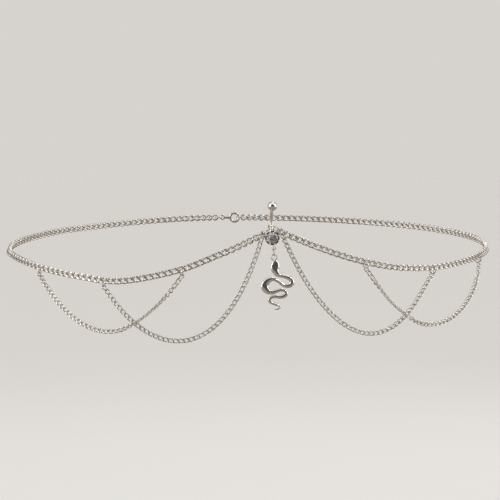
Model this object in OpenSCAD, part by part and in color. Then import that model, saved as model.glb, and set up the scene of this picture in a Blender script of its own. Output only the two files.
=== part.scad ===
// Waist chain: a curb chain round the waist carried by a curved navel bar, with two
// draped swags each side and a snake drop under a round crystal.
// Units mm. Origin: middle of the loop, level with the crystal. Front is -Y, up is +Z,
// the wearer's left is +X. The loop is drawn at the shape it keeps when worn.

/* [Loop] */
// Width of the loop across the chain centre line, level with the crystal
loop_w = 268; // [262:1:276]
// Depth of the loop, front to back
loop_d = 184; // [178:1:192]
// How much half the width grows for each mm downward
flare = 0.4; // [0.3:0.01:0.5]
// Height of the chain at the small of the back
back_z = 8; // [4:0.5:12]

/* [Main chain] */
// Wire of the main curb links
wire_d = 0.98; // [0.94:0.01:1]
// Distance from one link to the next
pitch = 3.6; // [3.56:0.01:3.64]
// Visible width of a link
link_w = 3.5; // [3.4:0.01:3.55]
// Half twist of a link, from flat to one end
twist = 34; // [33:0.5:35]
// Links drawn on each side of the navel bar
links_side = 50; // [46:1:52]
// Links from the left front ring to its first swag hook; the right one has a link more
hook_first = 14; // [13:1:15]
// Links from one swag hook to the next
hook_step = 12; // [11:1:13]

/* [Swags] */
// Wire of the swag links
swag_wire = 0.65; // [0.6:0.01:0.67]
// Distance from one swag link to the next
swag_pitch = 2.8; // [2.76:0.01:2.84]
// Visible width of a swag link
swag_w = 2.5; // [2.4:0.01:2.6]
// Outward lift where one swag passes over the other
cross_lift = 2.7; // [2.5:0.1:3.2]

/* [Rings] */
// Wire of the rings that carry the swags
hook_wire = 0.6; // [0.55:0.01:0.65]
// Mean radius of the rings that carry the swags
hook_r = 1.7; // [1.6:0.01:1.8]
// Wire of the two rings on the navel bar
front_wire = 0.8; // [0.75:0.01:0.85]
// Mean radius of the two rings on the navel bar
front_r = 3.5; // [3.4:0.01:3.6]

/* [Navel bar] */
// Thickness of the curved bar
bar_d = 1.6; // [1.5:0.05:1.7]
// Radius of the bar's curve
bar_r = 12; // [11.8:0.1:12.4]
// Diameter of the screw-on ball
ball_d = 5; // [4.8:0.1:5.2]
// Diameter of the round cup
cup_d = 7.8; // [7.6:0.1:8]
// Diameter of the crystal
gem_d = 6.3; // [6.1:0.1:6.4]
// Claws round the crystal
claws = 8; // [6:1:8]

/* [Snake drop] */
// Wire of the small rings of the drop
drop_wire = 0.6; // [0.55:0.01:0.62]
// Widest part of the snake's body
snake_w = 3.4; // [3.2:0.05:3.5]
// Thickness of the snake's body
snake_t = 1.9; // [1.7:0.1:2.1]
// Fine gap between pieces that would touch
gap = 0.12; // [0.1:0.01:0.14]

/* [Hidden] */
$fn = 48;
silver = [0.78, 0.77, 0.75];
glassy = [0.9, 0.92, 0.95];

// chosen heights of the main chain, [degrees from the front, height], one list a side
drop_left = [[1.8, 0.4], [11.5, -8.9], [20.3, -17.2], [34.2, -23.4], [45.4, -21.3],
             [60.3, -16.8], [72.2, -13], [95, -7.5], [135, 2], [180, back_z]];
drop_right = [[2.2, 3.1], [11.4, -5.6], [20.8, -12.6], [31.3, -16.7], [44.1, -16.8],
              [66.2, -11.5], [100, -2.3], [140, 5], [180, back_z]];
// chosen middle points of each swag's curve, [degrees, height]
bend_inner_left = [[12.9, -97.1], [31.6, -40.6]];
bend_inner_right = [[19.25, -96.2], [32.05, -34.5]];
bend_outer_left = [[32.5, -69.2], [40.6, -51.3]];
bend_outer_right = [[26.5, -28.7], [31.3, -82.2]];
cross_left = 29.1;
cross_right = 30.5;
cross_width = 3.6;

// vectors
function unit(v) = v / norm(v);
function mix(a, b, t) = a + (b - a) * t;
function ease(t) = let (u = min(1, max(0, t))) u * u * (3 - 2 * u);
function turned(v, k, a) = v * cos(a) + cross(k, v) * sin(a) + k * (k * v) * (1 - cos(a));
function placing(p, x, y, z) =
  [[x[0], y[0], z[0], p[0]], [x[1], y[1], z[1], p[1]], [x[2], y[2], z[2], p[2]], [0, 0, 0, 1]];

// the surface that the chains lie on: an ellipse that widens downward
half_w_0 = loop_w / 2;
half_d_0 = loop_d / 2;
belly = 0.0018;
slant = 0.05;
function half_w(z) = half_w_0 - flare * z - belly * z * z;
function half_d(z) = half_d_0 - slant * z;
function on_waist(side, a, z) = [side * half_w(z) * sin(a), -half_d(z) * cos(a), z];
function outward(p) =
  let (w = half_w(p[2]), d = half_d(p[2]), dw = -flare - 2 * belly * p[2])
    unit([p[0] / (w * w), p[1] / (d * d), -p[0] * p[0] * dw / pow(w, 3) + slant * p[1] * p[1] / pow(d, 3)]);

// height at an angle, by cubic pieces through the chosen points
function slope_at(p, i) =
  i == len(p) - 1 ? 0
  : let (a = max(0, i - 1), b = i + 1) (p[b][1] - p[a][1]) / (p[b][0] - p[a][0]);
function piece_of(p, a) = max([for (i = [0 : len(p) - 2]) if (i == 0 || p[i][0] <= a) i]);
function height_at(p, a) =
  let (i = piece_of(p, a), h = p[i + 1][0] - p[i][0], t = (a - p[i][0]) / h, u = 1 - t)
    p[i][1] * (1 + 2 * t) * u * u + slope_at(p, i) * h * t * u * u
    + p[i + 1][1] * (3 - 2 * t) * t * t - slope_at(p, i + 1) * h * u * t * t;

// navel bar: an arc in the plane x = 0, v is the distance in front of the loop's middle
bar_back = half_d_0 + 0.3;
bar_mid_z = 6.87;
bar_v = bar_back + bar_r;
bar_top = 45;
bar_low = 30;
function bar_at(t) = [0, -(bar_v - bar_r * cos(t)), bar_mid_z + bar_r * sin(t)];
bar_end = bar_at(bar_top);
bar_dir = [0, -sin(bar_top), cos(bar_top)];
ball_c = bar_end + bar_dir * (ball_d / 2 - 0.1);
cup_v = half_d_0 + 1.1;
cup_h = 4.3;
cup_r = cup_d / 2;
gem_r = gem_d / 2;
seat_v = cup_v + 4.1;

// the two rings on the bar; nest is how far apart two hooked wires' centres stand
slack = 0.05;
function bar_angle(z) = asin((z - bar_mid_z) / bar_r);
function nest(wa, wb, x, along) = ((wa + wb) / 2 + gap + slack) / norm(cross(x, along));
front_tip = 16;
front_z_left = 4.2;
front_z_right = 5.7;
front_fall_left = 26;
front_fall_right = 22;
function front_frame(side) =
  let (t = bar_angle(side > 0 ? front_z_right : front_z_left),
       fall = side > 0 ? front_fall_right : front_fall_left,
       e = [side * cos(fall), 0, -sin(fall)], up = [side * sin(fall), 0, cos(fall)],
       q = [0, -cos(front_tip), 0] + up * sin(front_tip))
    [bar_at(t) + e * (front_r - nest(bar_d, front_wire, e, [0, -sin(t), cos(t)])), e, q, cross(e, q)];
function front_at(side, t) =
  let (f = front_frame(side)) f[0] + front_r * (cos(t) * f[1] + sin(t) * f[2]);
function front_along(side, t) =
  let (f = front_frame(side)) -sin(t) * f[1] + cos(t) * f[2];
// where the chains hook each front ring, in degrees from its outer end
main_hook_left = -25;
main_hook_right = -24;
swag_hook_left = 31.5;
swag_hook_right = 14;
function main_on_front(side) = side > 0 ? main_hook_right : main_hook_left;
function swag_on_front(side) = side > 0 ? swag_hook_right : swag_hook_left;

// main chain centre line
function drop_of(side) = side > 0 ? drop_right : drop_left;
function first_angle(side) = drop_of(side)[0][0];
function plain_main(side, a) = on_waist(side, a, height_at(drop_of(side), a));
shift_left = front_at(-1, main_on_front(-1)) - plain_main(-1, first_angle(-1));
shift_right = front_at(1, main_on_front(1)) - plain_main(1, first_angle(1));
lead_in_angle = 9;
function main_at(side, a) =
  plain_main(side, a)
  + (side > 0 ? shift_right : shift_left) * (1 - ease((a - first_angle(side)) / lead_in_angle));
steps = 240;
function run_of(side) =
  let (a0 = first_angle(side), da = (180 - a0) / steps)
    [for (i = 0, s = 0; i <= steps;
          s = s + norm(main_at(side, a0 + (i + 1) * da) - main_at(side, a0 + i * da)), i = i + 1)
      [s, a0 + i * da]];
run_left = run_of(-1);
run_right = run_of(1);
function run_for(side) = side > 0 ? run_right : run_left;
function main_point(side, s) = main_at(side, lookup(s, run_for(side)));
main_probe = 0.6;
function main_dir(side, s) =
  unit(main_point(side, s + main_probe) - main_point(side, max(0, s - main_probe)));
main_length_left = run_left[steps][0];
main_length_right = run_right[steps][0];
function main_length(side) = side > 0 ? main_length_right : main_length_left;

// a curb link: half circles twisted one way at one end and the other way at the other
half_link_w = (link_w - wire_d) / 2 / cos(twist);
link_play = 0.09;
half_link_l = (pitch + wire_d + link_play + gap) / 2;
half_swag_w = (swag_w - swag_wire) / 2 / cos(twist);
half_swag_l = (swag_pitch + swag_wire + link_play + gap) / 2;
function end_point(e, a, hl, hw) =
  [e * (hl - hw + hw * cos(a)), hw * sin(a) * cos(twist), e * hw * sin(a) * sin(twist)];
function link_line(hl, hw) =
  concat([for (a = [-90 : 45 : 90]) end_point(1, a, hl, hw)],
         [for (a = [90 : -45 : -90]) end_point(-1, a, hl, hw)]);
link_sides = 5;
function link_rings(p, r) =
  let (n = len(p))
    [for (i = [0 : n - 1])
      let (q0 = unit(p[i] - p[(i + n - 1) % n]), q1 = unit(p[(i + 1) % n] - p[i]), t = unit(q0 + q1),
           u = unit(p[i] - (p[i] * t) * t), v = cross(t, u), k = 1 / (q0 * t))
        for (j = [0 : link_sides - 1])
          p[i] + r * (cos(j * 72 + 36) * k * u + sin(j * 72 + 36) * v)];
function loop_faces(n, m) =
  [for (i = [0 : n - 1])
    for (j = [0 : m - 1])
      let (a = i * m + j, b = i * m + (j + 1) % m,
           c = ((i + 1) % n) * m + (j + 1) % m, d = ((i + 1) % n) * m + j)
        for (f = [[a, c, b], [a, d, c]]) f];
main_link_points = link_rings(link_line(half_link_l, half_link_w), wire_d / 2);
swag_link_points = link_rings(link_line(half_swag_l, half_swag_w), swag_wire / 2);
link_faces = loop_faces(10, link_sides);

// where each main link sits, and how far it is rolled about the chain
function main_lead(side) =
  half_link_l - nest(wire_d, front_wire, main_dir(side, 1), front_along(side, main_on_front(side)));
lead_left = main_lead(-1);
lead_right = main_lead(1);
function link_s(side, k) = (side > 0 ? lead_right : lead_left) + k * pitch;
function base_y(p, x) = unit(cross(outward(p), x));
function end_y(x, e, along) = let (w = unit(cross(x, along))) turned(w, x, e * -twist);
function roll_between(x, y0, y1) =
  let (a = atan2(cross(y0, y1) * x, y0 * y1)) a > 90 ? a - 180 : (a < -90 ? a + 180 : a);
function first_roll(side) =
  let (s = link_s(side, 0), x = main_dir(side, s), y0 = base_y(main_point(side, s), x))
    roll_between(x, y0, end_y(x, -1, front_along(side, main_on_front(side))));
roll_left = first_roll(-1);
roll_right = first_roll(1);
lead_in_links = 9;
function main_roll(side, k) = (side > 0 ? roll_right : roll_left) * (1 - ease(k / lead_in_links));
function main_frame(side, k) =
  let (s = link_s(side, k), p = main_point(side, s), x = main_dir(side, s),
       y = turned(base_y(p, x), x, main_roll(side, k)))
    [p, x, y, cross(x, y)];

// rings that hang from every hook_step-th link and carry the swags
function hook_link(side, n) = hook_first + (side > 0 ? 1 : 0) + (n - 1) * hook_step - 1;
hook_turn = 56;
hook_rise = 0.03;
hook_drop = hook_r - hook_rise;
function hook_frame(side, n) =
  let (f = main_frame(side, hook_link(side, n)), dn = f[2][2] > 0 ? -f[2] : f[2], c = f[0] + dn * hook_drop,
       x = f[1] * (f[1][0] > 0 ? 1 : -1), z = f[3] * (f[3] * outward(f[0]) > 0 ? 1 : -1),
       nrm = unit(z * cos(hook_turn) - x * sin(hook_turn)))
    [c, dn, nrm, cross(nrm, dn)];
function hook_low(side, n) = let (f = hook_frame(side, n)) f[0] + f[1] * hook_r;

// swags: a smooth curve on the waist between two carriers
function polar_of(side, p) =
  let (w = half_w(p[2]), d = half_d(p[2])) [atan2(side * p[0] / w, -p[1] / d), p[2]];
function bend_of(side, outer) =
  side > 0 ? (outer ? bend_outer_right : bend_inner_right) : (outer ? bend_outer_left : bend_inner_left);
function swag_start(side, outer) = outer ? hook_low(side, 1) : front_at(side, swag_on_front(side));
function swag_stop(side, outer) = hook_low(side, outer ? 3 : 2);
function swag_flat(side, outer, t) =
  let (b = bend_of(side, outer), p0 = polar_of(side, swag_start(side, outer)),
       p3 = polar_of(side, swag_stop(side, outer)), u = 1 - t)
    p0 * u * u * u + 3 * b[0] * u * u * t + 3 * b[1] * u * t * t + p3 * t * t * t;
function swag_on(side, outer, t) =
  let (q = swag_flat(side, outer, t), p = on_waist(side, q[0], q[1]),
       g = (q[0] - (side > 0 ? cross_right : cross_left)) / cross_width)
    p + (outer ? outward(p) * cross_lift * exp(-g * g) : [0, 0, 0]);
function swag_at(side, outer, t) =
  swag_on(side, outer, t)
  + (swag_start(side, outer) - swag_on(side, outer, 0)) * pow(1 - t, 9)
  + (swag_stop(side, outer) - swag_on(side, outer, 1)) * pow(t, 9);
swag_steps = 72;
function swag_run(side, outer) =
  let (p = [for (i = [0 : swag_steps]) swag_at(side, outer, i / swag_steps)])
    [for (i = 0, s = 0; i <= swag_steps; s = s + (i < swag_steps ? norm(p[i + 1] - p[i]) : 0), i = i + 1)
      [s, i / swag_steps]];
function start_along(side, outer) =
  outer ? hook_frame(side, 1)[3] : front_along(side, swag_on_front(side));
function stop_along(side, outer) = hook_frame(side, outer ? 3 : 2)[3];

// lengths of swept tube, standing in for the fine links
tube_sides = 8;
main_tube_d = 3.0;
swag_tube_d = 2.2;
function tube_points(c, r) =
  let (n = len(c))
    [for (i = [0 : n - 1])
      let (t = unit(c[min(n - 1, i + 1)] - c[max(0, i - 1)]), y = base_y(c[i], t), z = cross(t, y))
        for (j = [0 : tube_sides - 1])
          c[i] + r * (cos(j * 45 + 22.5) * y + sin(j * 45 + 22.5) * z)];
function tube_faces(n, m) =
  concat([for (i = [0 : n - 2])
    for (j = [0 : m - 1])
      let (a = i * m + j, b = i * m + (j + 1) % m, c = b + m, d = a + m)
        for (f = [[a, c, b], [a, d, c]]) f],
    [for (j = [1 : m - 2]) [0, j, j + 1]],
    [for (j = [1 : m - 2]) [(n - 1) * m, (n - 1) * m + j + 1, (n - 1) * m + j]]);
main_tube_rings = 14;
swag_tube_rings = 13;

// the drop under the cup
drop_ahead = 4.3;
drop_v = half_d_0 + drop_ahead;
drop_x = 1.1;
eye_r = 0.9;
eye_below = 1.7;
eye_z = -cup_r - eye_below;
eye_stem = 2.15;
drop_link_r = 1.85;
drop_ring_r = 1.55;
snake_eye_r = 0.72;
drop_nest = drop_wire + gap;
drop_link_z = eye_z - eye_r + drop_nest - drop_link_r;
drop_ring_z = drop_link_z - drop_link_r + drop_nest - drop_ring_r;
snake_eye_z = drop_ring_z - drop_ring_r + drop_nest - snake_eye_r;
// chosen points down the snake's back, [across, down, width where snake_w is snake_drawn_w]
snake_drawn_w = 3.4;
snake_spine = [[0.43, 0.12, 2.6], [0.55, 0.8, 3.7], [0.7, 1.7, 4.4], [0.6, 2.97, 4.9], [0.48, 4.36, 4.4],
               [0.8, 5.65, 3.8], [1.55, 6.8, 3.1], [2.8, 7.7, 2.4], [4.45, 8.2, 2.0], [6.4, 8.7, 2.1],
               [8.8, 9.7, 2.6], [9.7, 11.55, 2.8], [8.6, 13.15, 2.5], [6.4, 13.55, 2.0], [4.2, 12.5, 2.0],
               [2.2, 10.95, 2.0], [0.2, 9.9, 2.15], [-1.8, 9.85, 2.6], [-3.65, 10.95, 3.4],
               [-4.95, 12.9, 4.2], [-4.7, 14.95, 3.9], [-3.0, 16.5, 3.0], [-0.9, 16.9, 2.4],
               [1.2, 16.3, 2.0], [3.6, 15.6, 1.8],
               [5.7, 16.1, 1.8], [6.5, 17.5, 2.2], [5.4, 18.9, 2.2], [3.2, 19.4, 2.0], [0.9, 19.2, 1.8],
               [-1.2, 19.55, 1.7], [-2.45, 20.8, 2.0], [-1.55, 22.3, 1.9], [0.6, 23.2, 1.6], [2.4, 23.9, 1.3],
               [3.2, 24.9, 1.1], [2.1, 25.8, 0.85], [0.6, 26.1, 0.5]];
snake_sunk = 0.35;
snake_z = snake_eye_z - snake_eye_r + snake_sunk;

module ring(r, w) {
  rotate_extrude($fn = 72)
    translate([r, 0])
      circle(d = w, $fn = 24);
}

module placed_ring(c, n, x, r, w) {
  multmatrix(placing(c, x, cross(n, x), n))
    ring(r, w);
}

// the ball's screw, as shares of the bar's and the ball's diameters
screw_share = 0.7;
screw_reach = 0.62;
bar_in_ball = 0.35;
claw_d = 0.7;
claw_l = 2.5;
claw_foot = 2.6;
claw_in = 0.3;
claw_tip_d = 0.86;
claw_tip_v = 5.1;
claw_tip_in = 0.33;

module navel_bar() {
  color(silver) {
    // curved bar and its thin threaded end
    translate([0, -bar_v, bar_mid_z])
      rotate([90, 0, 90])
        rotate_extrude(angle = bar_top + bar_low, start = -bar_low)
          translate([bar_r, 0])
            circle(d = bar_d, $fn = 32);
    multmatrix(placing(bar_end, [1, 0, 0], cross(bar_dir, [1, 0, 0]), bar_dir))
      translate([0, 0, -0.2])
        cylinder(d = bar_d * screw_share, h = ball_d * screw_reach, $fn = 32);
    // cup, open to the front
    translate([0, -cup_v, 0])
      rotate([90, 0, 0])
        rotate_extrude($fn = 72)
          polygon([[0, 0], [2.7, 0], [3.0, 0.3], [cup_r - 0.5, 2.4], [cup_r, 3.4], [cup_r, cup_h],
                   [gem_r + gap + 0.08, cup_h], [gem_r + gap + 0.08, 3.85], [0.9, 1.6], [0, 1.6]]);
    // claws
    for (i = [0 : claws - 1])
      rotate([0, 360 / claws * (i + 0.5), 0]) {
        translate([cup_r - claw_in, -cup_v - claw_foot, 0])
          rotate([90, 0, 0])
            cylinder(d = claw_d, h = claw_l, $fn = 24);
        translate([cup_r - claw_tip_in, -cup_v - claw_tip_v, 0])
          sphere(d = claw_tip_d, $fn = 32);
      }
    // eye under the cup
    translate([drop_x, -drop_v, eye_z])
      rotate([90, 0, 0])
        ring(eye_r, drop_wire);
    translate([drop_x, -drop_v, eye_z + eye_r])
      cylinder(d = drop_wire * 1.3, h = eye_stem - eye_r, $fn = 32);
  }
}

// round cut: table, crown, girdle and pavilion
gem_crown = 0.95;
gem_deep = 2.05;
gem_rings = [[8, 0.54, gem_crown, 22.5], [8, 0.8, gem_crown * 0.62, 0], [16, 1, 0.08, 0],
             [16, 1, -0.08, 0], [8, 0.42, -gem_deep * 0.58, 0]];
function gem_ring(q) =
  [for (i = [0 : q[0] - 1])
    let (a = i * 360 / q[0] + q[3])
      [gem_r * q[1] * cos(a), gem_r * q[1] * sin(a), q[2]]];
gem_points = concat([for (q = gem_rings) for (p = gem_ring(q)) p], [[0, 0, -gem_deep]]);

module crystal() {
  color(glassy)
    translate([0, -seat_v, 0])
      rotate([90, 0, 0])
        hull()
          polyhedron(points = gem_points, faces = [for (i = [1 : len(gem_points) - 2]) [0, i, i + 1]]);
}

module top_ball() {
  color(silver)
    multmatrix(placing(ball_c, [1, 0, 0], cross(bar_dir, [1, 0, 0]), bar_dir))
      difference() {
        sphere(d = ball_d, $fn = 64);
        translate([0, 0, -ball_d])
          cylinder(d = bar_d + 2 * gap, h = ball_d - ball_d / 2 + bar_in_ball, $fn = 32);
        translate([0, 0, -ball_d])
          cylinder(d = bar_d * screw_share + 2 * gap,
                   h = ball_d + ball_d * screw_reach - ball_d / 2 + gap + 0.1, $fn = 32);
      }
}

module pendant_link() {
  color(silver)
    translate([drop_x, -drop_v, drop_link_z])
      rotate([0, 90, 0])
        ring(drop_link_r, drop_wire);
}

module pendant_ring() {
  color(silver)
    translate([drop_x, -drop_v, drop_ring_z])
      rotate([90, 0, 0])
        ring(drop_ring_r, drop_wire);
}

// smooth body through the chosen points
function through(p, i, t) =
  let (n = len(p), a = p[max(0, i - 1)], b = p[i], c = p[min(n - 1, i + 1)], d = p[min(n - 1, i + 2)])
    b + 0.5 * t * (c - a + t * (2 * a - 5 * b + 4 * c - d + t * (3 * (b - c) + d - a)));
snake_knots = [for (p = snake_spine) [p[0], -p[1], p[2]]];
snake_line = concat([for (i = [0 : len(snake_knots) - 2]) for (t = [0, 0.5]) through(snake_knots, i, t)],
                    [snake_knots[len(snake_knots) - 1]]);
snake_sides = 10;
snake_edge = 0.35;
snake_swell = 0.24;
snake_back = 0.75;
function snake_points(c) =
  let (n = len(c))
    [for (i = [0 : n - 1])
      let (q = c[min(n - 1, i + 1)] - c[max(0, i - 1)], t = unit([q[0], q[1]]),
           w = c[i][2] * snake_w / (2 * snake_drawn_w),
           h = snake_t / 2 * min(1, snake_edge + snake_swell * c[i][2]))
        for (j = [0 : snake_sides - 1])
          let (a = j * 36 + 18, u = cos(a) * w, v = sin(a) * h * (sin(a) > 0 ? 1 : snake_back))
            [c[i][0] - t[1] * u, c[i][1] + t[0] * u, v]];

module snake_pendant() {
  color(silver)
    translate([drop_x, -drop_v, 0]) {
      translate([0, 0, snake_z])
        rotate([90, 0, 0])
          polyhedron(points = snake_points(snake_line), faces = tube_faces(len(snake_line), snake_sides));
      translate([0, 0, snake_eye_z])
        rotate([0, 90, 0])
          ring(snake_eye_r, drop_wire);
    }
}

module front_ring(side) {
  f = front_frame(side);
  color(silver)
    placed_ring(f[0], f[3], f[1], front_r, front_wire);
}

module front_ring_left() {
  front_ring(-1);
}

module front_ring_right() {
  front_ring(1);
}

module main_links(side) {
  color(silver)
    for (k = [0 : links_side - 1])
      let (f = main_frame(side, k))
        multmatrix(placing(f[0], f[1], f[2], f[3]))
          polyhedron(points = main_link_points, faces = link_faces);
}

module chain_left() {
  main_links(-1);
}

module chain_right() {
  main_links(1);
}

// fastening at the small of the back, laid out along X from the loop's middle line
ring_big_r = 2;
ring_wire = 0.8;
eye_clasp_x = -5.2;
eye_clasp_r = 1.2;
eye_clasp_wire = 0.9;
claw_x = 2.2;
claw_r = 2.6;
claw_wire = 1.6;
ring_play = 0.16;
nest_link = ring_wire / 2 + wire_d / 2 + gap + ring_play;
clasp_ring_x = eye_clasp_x - eye_clasp_r + eye_clasp_wire / 2 + ring_wire / 2 + gap - ring_big_r;
end_ring_x = claw_x + claw_r - claw_wire / 2 - ring_wire / 2 - gap + ring_big_r;
last_left = ring_big_r - clasp_ring_x - nest_link + half_link_l;
last_right = end_ring_x + ring_big_r - nest_link + half_link_l;

tube_play = 0.1;
module back_stretch(side) {
  last = main_length(side) - (side > 0 ? last_right : last_left);
  reach = half_link_l + wire_d / 2 + gap + tube_play;
  a = link_s(side, links_side) + reach;
  b = last - reach;
  line = [for (i = [0 : main_tube_rings - 1]) main_point(side, mix(a, b, i / (main_tube_rings - 1)))];
  f = main_frame(side, links_side);
  p = main_point(side, last);
  x = main_dir(side, last);
  y = end_y(x, 1, [0, 1, 0]);
  color(silver) {
    multmatrix(placing(f[0], f[1], f[2], f[3]))
      polyhedron(points = main_link_points, faces = link_faces);
    polyhedron(points = tube_points(line, main_tube_d / 2), faces = tube_faces(main_tube_rings, tube_sides));
    multmatrix(placing(p, x, y, cross(x, y)))
      polyhedron(points = main_link_points, faces = link_faces);
  }
}

module chain_back_left() {
  back_stretch(-1);
}

module chain_back_right() {
  back_stretch(1);
}

module back_ring(x) {
  color(silver)
    translate([x, half_d(back_z), back_z])
      ring(ring_big_r, ring_wire);
}

module clasp_ring() {
  back_ring(clasp_ring_x);
}

module end_ring() {
  back_ring(end_ring_x);
}

module clasp() {
  // plain closed claw with an eye at its tail
  color(silver)
    translate([0, half_d(back_z), back_z]) {
      translate([claw_x, 0, 0])
        rotate([90, 0, 0])
          ring(claw_r, claw_wire);
      translate([eye_clasp_x, 0, 0])
        rotate([90, 0, 0])
          ring(eye_clasp_r, eye_clasp_wire);
      translate([eye_clasp_x + eye_clasp_r, 0, 0])
        rotate([0, 90, 0])
          cylinder(d1 = 1.5, d2 = 2.4, h = claw_x - claw_r - eye_clasp_x - eye_clasp_r, $fn = 48);
    }
}

module hook_ring(side, n) {
  f = hook_frame(side, n);
  color(silver)
    placed_ring(f[0], f[2], f[1], hook_r, hook_wire);
}

module hook_ring_left_1() {
  hook_ring(-1, 1);
}

module hook_ring_left_2() {
  hook_ring(-1, 2);
}

module hook_ring_left_3() {
  hook_ring(-1, 3);
}

module hook_ring_right_1() {
  hook_ring(1, 1);
}

module hook_ring_right_2() {
  hook_ring(1, 2);
}

module hook_ring_right_3() {
  hook_ring(1, 3);
}

module end_link(p, x, e, along) {
  y = end_y(x, e, along);
  multmatrix(placing(p, x, y, cross(x, y)))
    polyhedron(points = swag_link_points, faces = link_faces);
}

// steps along a swag that give the direction of its pull and of its end links
pull_step = 2;
inner_step = 1;
outer_step = 0.8;
swag_tube_play = 0.15;
module swag(side, outer) {
  run = swag_run(side, outer);
  total = run[swag_steps][0];
  along_a = start_along(side, outer);
  along_b = stop_along(side, outer);
  leave = unit(swag_at(side, outer, lookup(pull_step, run)) - swag_at(side, outer, 0));
  arrive = unit(swag_at(side, outer, 1) - swag_at(side, outer, lookup(total - pull_step, run)));
  lead = half_swag_l - nest(swag_wire, outer ? hook_wire : front_wire, leave, along_a);
  stop = total - half_swag_l + nest(swag_wire, hook_wire, arrive, along_b);
  xa = unit(swag_at(side, outer, lookup(lead + inner_step, run))
            - swag_at(side, outer, lookup(lead - outer_step, run)));
  xb = unit(swag_at(side, outer, lookup(stop + outer_step, run))
            - swag_at(side, outer, lookup(stop - inner_step, run)));
  from = lead + half_swag_l + swag_wire / 2 + gap + swag_tube_play;
  to = stop - half_swag_l - swag_wire / 2 - gap - swag_tube_play;
  line = [for (i = [0 : swag_tube_rings - 1])
    swag_at(side, outer, lookup(mix(from, to, i / (swag_tube_rings - 1)), run))];
  color(silver) {
    end_link(swag_at(side, outer, lookup(lead, run)), xa, -1, along_a);
    end_link(swag_at(side, outer, lookup(stop, run)), xb, 1, along_b);
    polyhedron(points = tube_points(line, swag_tube_d / 2), faces = tube_faces(swag_tube_rings, tube_sides));
  }
}

module swag_inner_left() {
  swag(-1, false);
}

module swag_inner_right() {
  swag(1, false);
}

module swag_outer_left() {
  swag(-1, true);
}

module swag_outer_right() {
  swag(1, true);
}

navel_bar();
crystal();
top_ball();
pendant_link();
pendant_ring();
snake_pendant();
front_ring_left();
front_ring_right();
chain_left();
chain_right();
chain_back_left();
chain_back_right();
swag_inner_left();
swag_inner_right();
swag_outer_left();
swag_outer_right();
hook_ring_left_1();
hook_ring_left_2();
hook_ring_left_3();
hook_ring_right_1();
hook_ring_right_2();
hook_ring_right_3();
clasp();
clasp_ring();
end_ring();
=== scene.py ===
"""Looks of the waist chain: links, snake, metals, crystal, light and camera.

The chain's sizes are in millimetres and turn into metres as each mesh is made,
and the stage and its light are in metres. Every piece lies in the same frame as
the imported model: the front is -Y, up is +Z, and the origin is the middle of the
loop, level with the crystal.
"""
import logging
import math
from dataclasses import dataclass
from enum import Enum
from typing import Callable, Dict, List, Sequence, Tuple, Union

import bpy
import numpy as np
from mathutils import Matrix, Vector


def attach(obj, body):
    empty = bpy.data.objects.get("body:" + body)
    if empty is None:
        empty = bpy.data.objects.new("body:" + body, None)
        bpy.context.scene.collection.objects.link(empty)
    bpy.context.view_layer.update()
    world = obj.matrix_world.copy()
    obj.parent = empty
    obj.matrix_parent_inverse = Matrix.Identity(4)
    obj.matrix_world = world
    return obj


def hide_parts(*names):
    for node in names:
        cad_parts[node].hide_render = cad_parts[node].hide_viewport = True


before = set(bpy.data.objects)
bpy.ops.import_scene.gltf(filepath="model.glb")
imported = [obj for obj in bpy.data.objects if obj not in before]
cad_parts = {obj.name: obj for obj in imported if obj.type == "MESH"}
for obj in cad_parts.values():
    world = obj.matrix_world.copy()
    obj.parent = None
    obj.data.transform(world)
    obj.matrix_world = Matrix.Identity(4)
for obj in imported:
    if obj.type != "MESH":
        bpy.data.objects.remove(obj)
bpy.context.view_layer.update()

LOG = logging.getLogger("waist_chain")
MM = 0.001
Array = np.ndarray
Pair = Tuple[float, float]
Triple = Tuple[float, float, float]


class Side(Enum):
    """A side of the loop, with the sign of its X."""

    LEFT = -1
    RIGHT = 1

    @property
    def word(self) -> str:
        """The side's word in node names."""
        return self.name.lower()


class Swag(Enum):
    """Which of a side's two swags."""

    INNER = "inner"
    OUTER = "outer"


# Vectors
def unit(v: Array) -> Array:
    """Scale a vector to length one."""
    return v / np.linalg.norm(v)


def ease(t: float) -> float:
    """Smooth step from 0 to 1, with t clamped to that span."""
    t = min(1.0, max(0.0, t))
    return t * t * (3 - 2 * t)


def turned(v: Array, k: Array, degrees: float) -> Array:
    """Turn a vector about the unit axis k, by the right-hand rule."""
    a = math.radians(degrees)
    return v * math.cos(a) + np.cross(k, v) * math.sin(a) + k * (k @ v) * (1 - math.cos(a))


# Sizes, in millimetres
# GAP is the clear space between hooked wires.
GAP = 0.12


@dataclass(frozen=True)
class LoopForm:
    """The waist surface that the chains lie on."""

    width: float = 268.0
    depth: float = 184.0
    flare: float = 0.4
    belly: float = 0.0018
    slant: float = 0.05

    def half_w(self, z: float) -> float:
        """Half width at a height."""
        return self.width / 2 - self.flare * z - self.belly * z * z

    def half_d(self, z: float) -> float:
        """Half depth at a height."""
        return self.depth / 2 - self.slant * z

    def point(self, side: Side, degrees: float, z: float) -> Array:
        """A point of the surface, at an angle from the front and a height."""
        a = math.radians(degrees)
        return np.array([side.value * self.half_w(z) * math.sin(a), -self.half_d(z) * math.cos(a), z])

    def outward(self, p: Array) -> Array:
        """The surface's outward normal.

        Args:
            p: A point on or near the surface.

        Returns:
            Unit normal.
        """
        w, d = self.half_w(p[2]), self.half_d(p[2])
        dw = -self.flare - 2 * self.belly * p[2]
        return unit(np.array([p[0] / (w * w), p[1] / (d * d),
                              -p[0] ** 2 * dw / w ** 3 + self.slant * p[1] ** 2 / d ** 3]))

    def polar(self, side: Side, p: Array) -> Array:
        """A point's angle from the front in degrees, and its height."""
        return np.array([math.degrees(math.atan2(side.value * p[0] / self.half_w(p[2]),
                                                 -p[1] / self.half_d(p[2]))), p[2]])


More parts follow.
